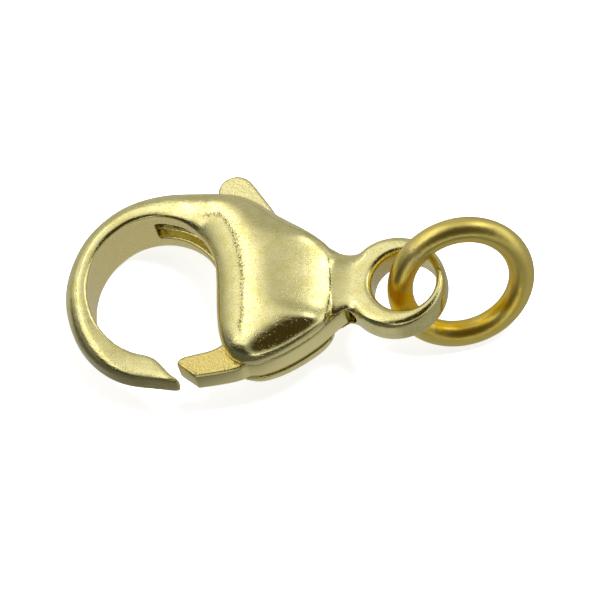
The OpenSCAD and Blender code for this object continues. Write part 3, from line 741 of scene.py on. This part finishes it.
def buildLever():
    # inset = edge * (1 - cos f), height = half - edge + edge * sin f, round the outline
    outline = leverOutline()
    ahead = np.roll(outline, -1, axis=0) - np.roll(outline, 1, axis=0)
    ahead /= np.linalg.norm(ahead, axis=1)[:, None]
    inward = np.stack([-ahead[:, 1], ahead[:, 0]], 1)
    half, edge = lever["thick"] / 2, lever["edge"]
    f = np.radians(np.linspace(0, 90, 7))
    inset = np.concatenate([edge * (1 - np.cos(f)), [edge * 1.2]])
    height = np.concatenate([half - edge + edge * np.sin(f), [half]])
    inset, height = np.concatenate([inset[::-1], inset]), np.concatenate([-height[::-1], height])
    flat = outline[None] + inset[:, None, None] * inward[None]
    points = np.concatenate([flat, np.broadcast_to(height[:, None, None], flat.shape[:2] + (1,))], 2)
    plate = flatObject("plate", *closedTube(points))
    pivot = inBody(*claw["pivot"])
    wall = np.array([(lever["bore"] / 2, -1.0), (lever["bore"] / 2, 1.0)])
    bore = flatObject("bore", *turned(wall, pivot, 48))
    cut = plate.modifiers.new("bore", "BOOLEAN")
    cut.operation, cut.object, cut.solver = "DIFFERENCE", bore, "EXACT"
    made = appliedMesh(plate)
    dropObjects(plate, bore)
    return made


leverPoints, leverFaces = buildLever()
flatShare = fade(np.abs(leverPoints[:, 2]), lever["thick"] / 2 - lever["faceFrom"], lever["faceSoft"])
addPiece("stampedLever", leverPoints, leverFaces, stampedGoldPlate(), "lever", "lever",
         {"sheetFace": flatShare})

# The pivot pin: a round pin whose end is dressed to a low dome
pin = {"wide": 0.9, "low": -1.5, "high": 1.15, "dome": 0.05}


def buildPin():
    # r from the rim to the middle, z = low - dome * (1 - (r / R)^2) and the same above
    r = pin["wide"] / 2
    share = np.linspace(0.04, 1, 9)
    low = np.stack([r * share, pin["low"] - pin["dome"] * (1 - share ** 2)], 1)
    high = np.stack([r * share[::-1], pin["high"] + 0 * share], 1)
    return turned(np.vstack([low, high]), inBody(*claw["pivot"]), 64)


pinPoints, pinFaces = buildPin()
fromMiddle = np.linalg.norm(pinPoints[:, :2] - inBody(*claw["pivot"]), axis=1)
addPiece("pivotPin", pinPoints, pinFaces, dressedPinEnd(), "clasp", "pivot_pin",
         {"fromMiddle": fromMiddle})

# The jump ring: round wire bent to a circle, its ends closed by a small solder joint
ring = {"outer": 5.78, "wire": 1.0, "lean": 66, "turn": 20.8,
        "centre": (2.00277, 0.600656, -0.721636), "around": 360, "across": 72,
        "joint": 122, "jointWide": 5, "jointSwell": 0.018, "solderWide": 1.4,
        # innerSide to restWarm: where the painted orange reflection falls on the ring
        "innerSide": 0.35, "innerWarm": 0.45, "frontWarm": 0.75,
        "restAt": 172, "restWide": 19, "restSide": 1.4, "restWarm": 1.8}


def buildRing():
    # centre + (R + a cos p) * (cos t * level + sin t * rise) + a sin p * normal, where a
    # swells by exp(-(t - joint)^2 / wide^2) at the solder
    lean, turn = np.radians(ring["lean"]), np.radians(ring["turn"])
    level = np.array([np.cos(turn), np.sin(turn), 0])
    rise = np.array([-np.sin(turn) * np.cos(lean), np.cos(turn) * np.cos(lean), np.sin(lean)])
    t = np.linspace(0, 2 * np.pi, ring["around"], endpoint=False)[:, None]
    p = np.linspace(0, 2 * np.pi, ring["across"], endpoint=False)[None]
    away = (np.degrees(t) - ring["joint"]) / ring["jointWide"]
    a = ring["wire"] / 2 + ring["jointSwell"] * np.exp(-away ** 2)
    reach = (ring["outer"] - ring["wire"]) / 2 + a * np.cos(p)
    points = (np.array(ring["centre"])
              + (reach * np.cos(t))[..., None] * level + (reach * np.sin(t))[..., None] * rise
              + (a * np.sin(p))[..., None] * np.cross(level, rise))
    # for the material: the place round and along the wire in mm, and the solder's share
    along = np.abs(np.degrees(t) - 180) / 180 * np.pi * ring["outer"] / 2
    wire = np.stack([a * np.cos(p), a * np.sin(p), along + 0 * p], 2).reshape(-1, 3)
    solder = np.exp(-(away / ring["solderWide"]) ** 2) + 0 * p
    # painted orange reflection of gold on gold, inside the ring, more so towards the front,
    # and where the ring hangs in the eye: (side - cos p) * (deep - front * sin t), and
    # exp(-(t - at)^2 / wide^2) * (side - cos p)
    deep = (np.clip(ring["innerSide"] - np.cos(p), 0, 1)
            * np.clip(ring["innerWarm"] - ring["frontWarm"] * np.sin(t), 0.1, 1))
    inEye = np.exp(-((np.degrees(t) - ring["restAt"]) / ring["restWide"]) ** 2)
    deep = np.maximum(deep, ring["restWarm"] * inEye * np.clip(ring["restSide"] - np.cos(p), 0, 1))
    faces = gridFaces(ring["around"], ring["across"], closeRows=True, closeCols=True)
    return points.reshape(-1, 3), faces, {"wirePlace": wire, "solderShare": solder.ravel(),
                                          "paintedReflectionShare": deep.ravel()}


ringPoints, ringFaces, ringShares = buildRing()
addPiece("jumpRing", ringPoints, ringFaces, drawnGoldWire(), "clasp", "jump_ring",
         ringShares)

# The camera has the photograph's angle, roll and frame: 23.08 mm across at 26 px a mm
view = {"right": (0.99779, 0.060777, -0.026851), "up": (-0.040694, 0.878432, 0.476131),
        "towards": (0.052525, -0.473986, 0.878964), "aim": (0.17414, -1.05001, 2.94126),
        "distance": 450.0, "width": 23.077}


def standAt(obj, x, y, z, place):
    # a matrix whose columns are the object's three axes and its place
    columns = np.eye(4)
    columns[:3, 0], columns[:3, 1], columns[:3, 2], columns[:3, 3] = x, y, z, place
    obj.matrix_world = Matrix(columns.tolist())


def addCamera():
    # place = aim + distance * towards; lens = sensor * distance / width
    data = bpy.data.cameras.new("camera")
    data.lens = data.sensor_width * view["distance"] / view["width"]
    data.clip_start, data.clip_end = 0.01, 10
    obj = linkObject(bpy.data.objects.new("camera", data))
    place = (np.array(view["aim"]) + view["distance"] * np.array(view["towards"])) / 1000
    standAt(obj, view["right"], view["up"], view["towards"], place)
    bpy.context.scene.camera = obj


addCamera()

# A pale lit table: white to the eye with a faint shadow, and a grey card where the metal
# mirrors it, which turns dark in front of the clasp and darker past the eye (in metres)
table = {"side": 0.6, "colour": "c8c8c8", "rough": 0.9, "glow": 0.78, "card": 0.48, "front": 0.1,
         "frontWay": (-0.35, -0.94, 0), "frontFrom": 0.004, "frontTo": 0.0075,
         "eyeFrom": 0.0035, "eyeTo": 0.005, "eyeShare": 0.7}


def addFloor():
    # a flat square at height 0; card = mix(card, front, the way towards the front), times
    # mix(1, eyeShare, the way past the eye)
    material, tree = newMaterial("paleTable")
    white = addNode(tree, "ShaderNodeBsdfPrincipled", {
        "Base Color": hexColour(table["colour"]), "Roughness": table["rough"],
        "Specular IOR Level": 0.0, "Emission Color": (1, 1, 1, 1), "Emission Strength": table["glow"]})
    place = addNode(tree, "ShaderNodeTexCoord").outputs["Object"]
    ahead = addNode(tree, "ShaderNodeVectorMath", {"operation": "DOT_PRODUCT", 1: table["frontWay"]},
                    {0: place})
    bright = addNode(tree, "ShaderNodeMapRange", {
        "interpolation_type": "SMOOTHSTEP",
        "From Min": table["frontFrom"], "From Max": table["frontTo"],
        "To Min": table["card"], "To Max": table["front"]}, {"Value": ahead.outputs["Value"]})
    right = addNode(tree, "ShaderNodeSeparateXYZ", {}, {0: place}).outputs["X"]
    fall = addNode(tree, "ShaderNodeMapRange", {
        "interpolation_type": "SMOOTHSTEP",
        "From Min": table["eyeFrom"], "From Max": table["eyeTo"],
        "To Min": 1.0, "To Max": table["eyeShare"]}, {"Value": right})
    bright = addNode(tree, "ShaderNodeMath", {"operation": "MULTIPLY"},
                     {0: bright.outputs[0], 1: fall.outputs[0]})
    card = addNode(tree, "ShaderNodeEmission", {"Color": (1, 1, 1, 1)},
                   {"Strength": bright.outputs[0]})
    ray = addNode(tree, "ShaderNodeLightPath")
    both = addNode(tree, "ShaderNodeMixShader", {}, {0: ray.outputs["Is Glossy Ray"],
                                                     1: white.outputs[0], 2: card.outputs[0]})
    addNode(tree, "ShaderNodeOutputMaterial", {}, {"Surface": both.outputs[0]})
    mesh = bpy.data.meshes.new("floor")
    side = table["side"]
    mesh.from_pydata([(-side, -side, 0), (side, -side, 0), (side, side, 0), (-side, side, 0)],
                     [], [(0, 1, 2, 3)])
    mesh.materials.append(material)
    linkObject(bpy.data.objects.new("floor", mesh))


addFloor()

# A light tent runs from left to right over the clasp: degrees from straight up, towards
# the right, against brightness. Its dark seam edges the bright top panel. Shades hang in
# it: the way to each one's middle, its half angle and softness in degrees, and its light,
# a number or a colour.
tent = {
    "across": [(-100, 0.34), (-80, 0.45), (-62, 0.68), (-50, 0.9), (-41, 1.25), (-39.3, 0.03),
               (-36.4, 0.03), (-34.8, 2.9), (-30, 1.85), (-24, 1.22), (-17, 1.0), (-10, 0.87),
               (-2, 0.74), (8, 0.69), (14, 0.73), (21, 0.92), (27, 1.5), (32, 2.5), (40, 2.9), (44, 1.5),
               (50, 0.8), (58, 0.7), (70, 1.2), (82, 0.8), (100, 0.36)],
    "shades": [((-0.9, -0.42, 0.15), 32, 14, 0.2), ((0, 1, 0.25), 38, 17, 0.47),
               ((-0.62, -0.24, 0.74), 13, 8, 1.3), ((-0.55, -0.72, 0.36), 27, 8, 0.05),
               ((0.34, -0.5, 0.8), 48, 9, 0.5),
               ((0.31, -0.5, 0.8), 39, 9, (0.05, 0.037, 0.013))]}


def addTent():
    # brightness = ramp(atan2(x, z)), then for each shade mix(brightness, its light,
    # smoothstep of the angle to its direction)
    world = bpy.data.worlds.new("lightTent")
    bpy.context.scene.world = world
    world.use_nodes = True
    tree = world.node_tree
    tree.nodes.clear()
    way = addNode(tree, "ShaderNodeTexCoord").outputs["Generated"]
    parts = addNode(tree, "ShaderNodeSeparateXYZ", {}, {0: way})
    turn = addNode(tree, "ShaderNodeMath", {"operation": "ARCTAN2"},
                   {0: parts.outputs["X"], 1: parts.outputs["Z"]})
    place = addNode(tree, "ShaderNodeMapRange", {"From Min": -np.pi, "From Max": np.pi},
                    {"Value": turn.outputs[0]})
    ramp = addNode(tree, "ShaderNodeValToRGB", {}, {"Fac": place.outputs[0]})
    stops = ramp.color_ramp.elements
    top = max(value for _, value in tent["across"])
    for degrees, value in tent["across"]:
        stops.new((degrees + 180) / 360).color = (value / top,) * 3 + (1,)
    stops[0].color, stops[len(stops) - 1].color = stops[1].color, stops[len(stops) - 2].color
    light = ramp.outputs["Color"]
    for toward, wide, soft, shadeLight in tent["shades"]:
        middle = np.array(toward) / np.linalg.norm(toward)
        near = addNode(tree, "ShaderNodeVectorMath", {"operation": "DOT_PRODUCT", 1: middle.tolist()},
                       {0: way})
        shade = addNode(tree, "ShaderNodeMapRange", {
            "interpolation_type": "SMOOTHSTEP", "From Min": np.cos(np.radians(wide + soft)),
            "From Max": np.cos(np.radians(wide - soft))}, {"Value": near.outputs["Value"]})
        shaded = (*(np.ones(3) * shadeLight / top).tolist(), 1)
        light = addNode(tree, "ShaderNodeMix", {"data_type": "RGBA", 7: shaded},
                        {0: shade.outputs[0], 6: light}).outputs[2]
    sky = addNode(tree, "ShaderNodeBackground", {"Strength": top}, {"Color": light})
    addNode(tree, "ShaderNodeOutputWorld", {}, {"Surface": sky.outputs[0]})


addTent()

lamp = {"place": (0.14, 0.16, 0.45), "size": (0.2, 0.2), "watts": 6.0}


def addLamp():
    # a soft overhead lamp for the table; the metal doesn't mirror it
    data = bpy.data.lights.new("overhead", "AREA")
    data.shape, data.size, data.size_y = "RECTANGLE", *lamp["size"]
    data.energy = lamp["watts"]
    obj = linkObject(bpy.data.objects.new("overhead", data))
    z = np.array(lamp["place"]) / np.linalg.norm(lamp["place"])
    x = np.cross((0, 1, 0), z)
    x /= np.linalg.norm(x)
    standAt(obj, x, np.cross(z, x), z, lamp["place"])
    obj.visible_glossy = False


addLamp()
print("camera, table, tent and lamp are in place")
bpy.context.scene.view_settings.view_transform = "Standard"
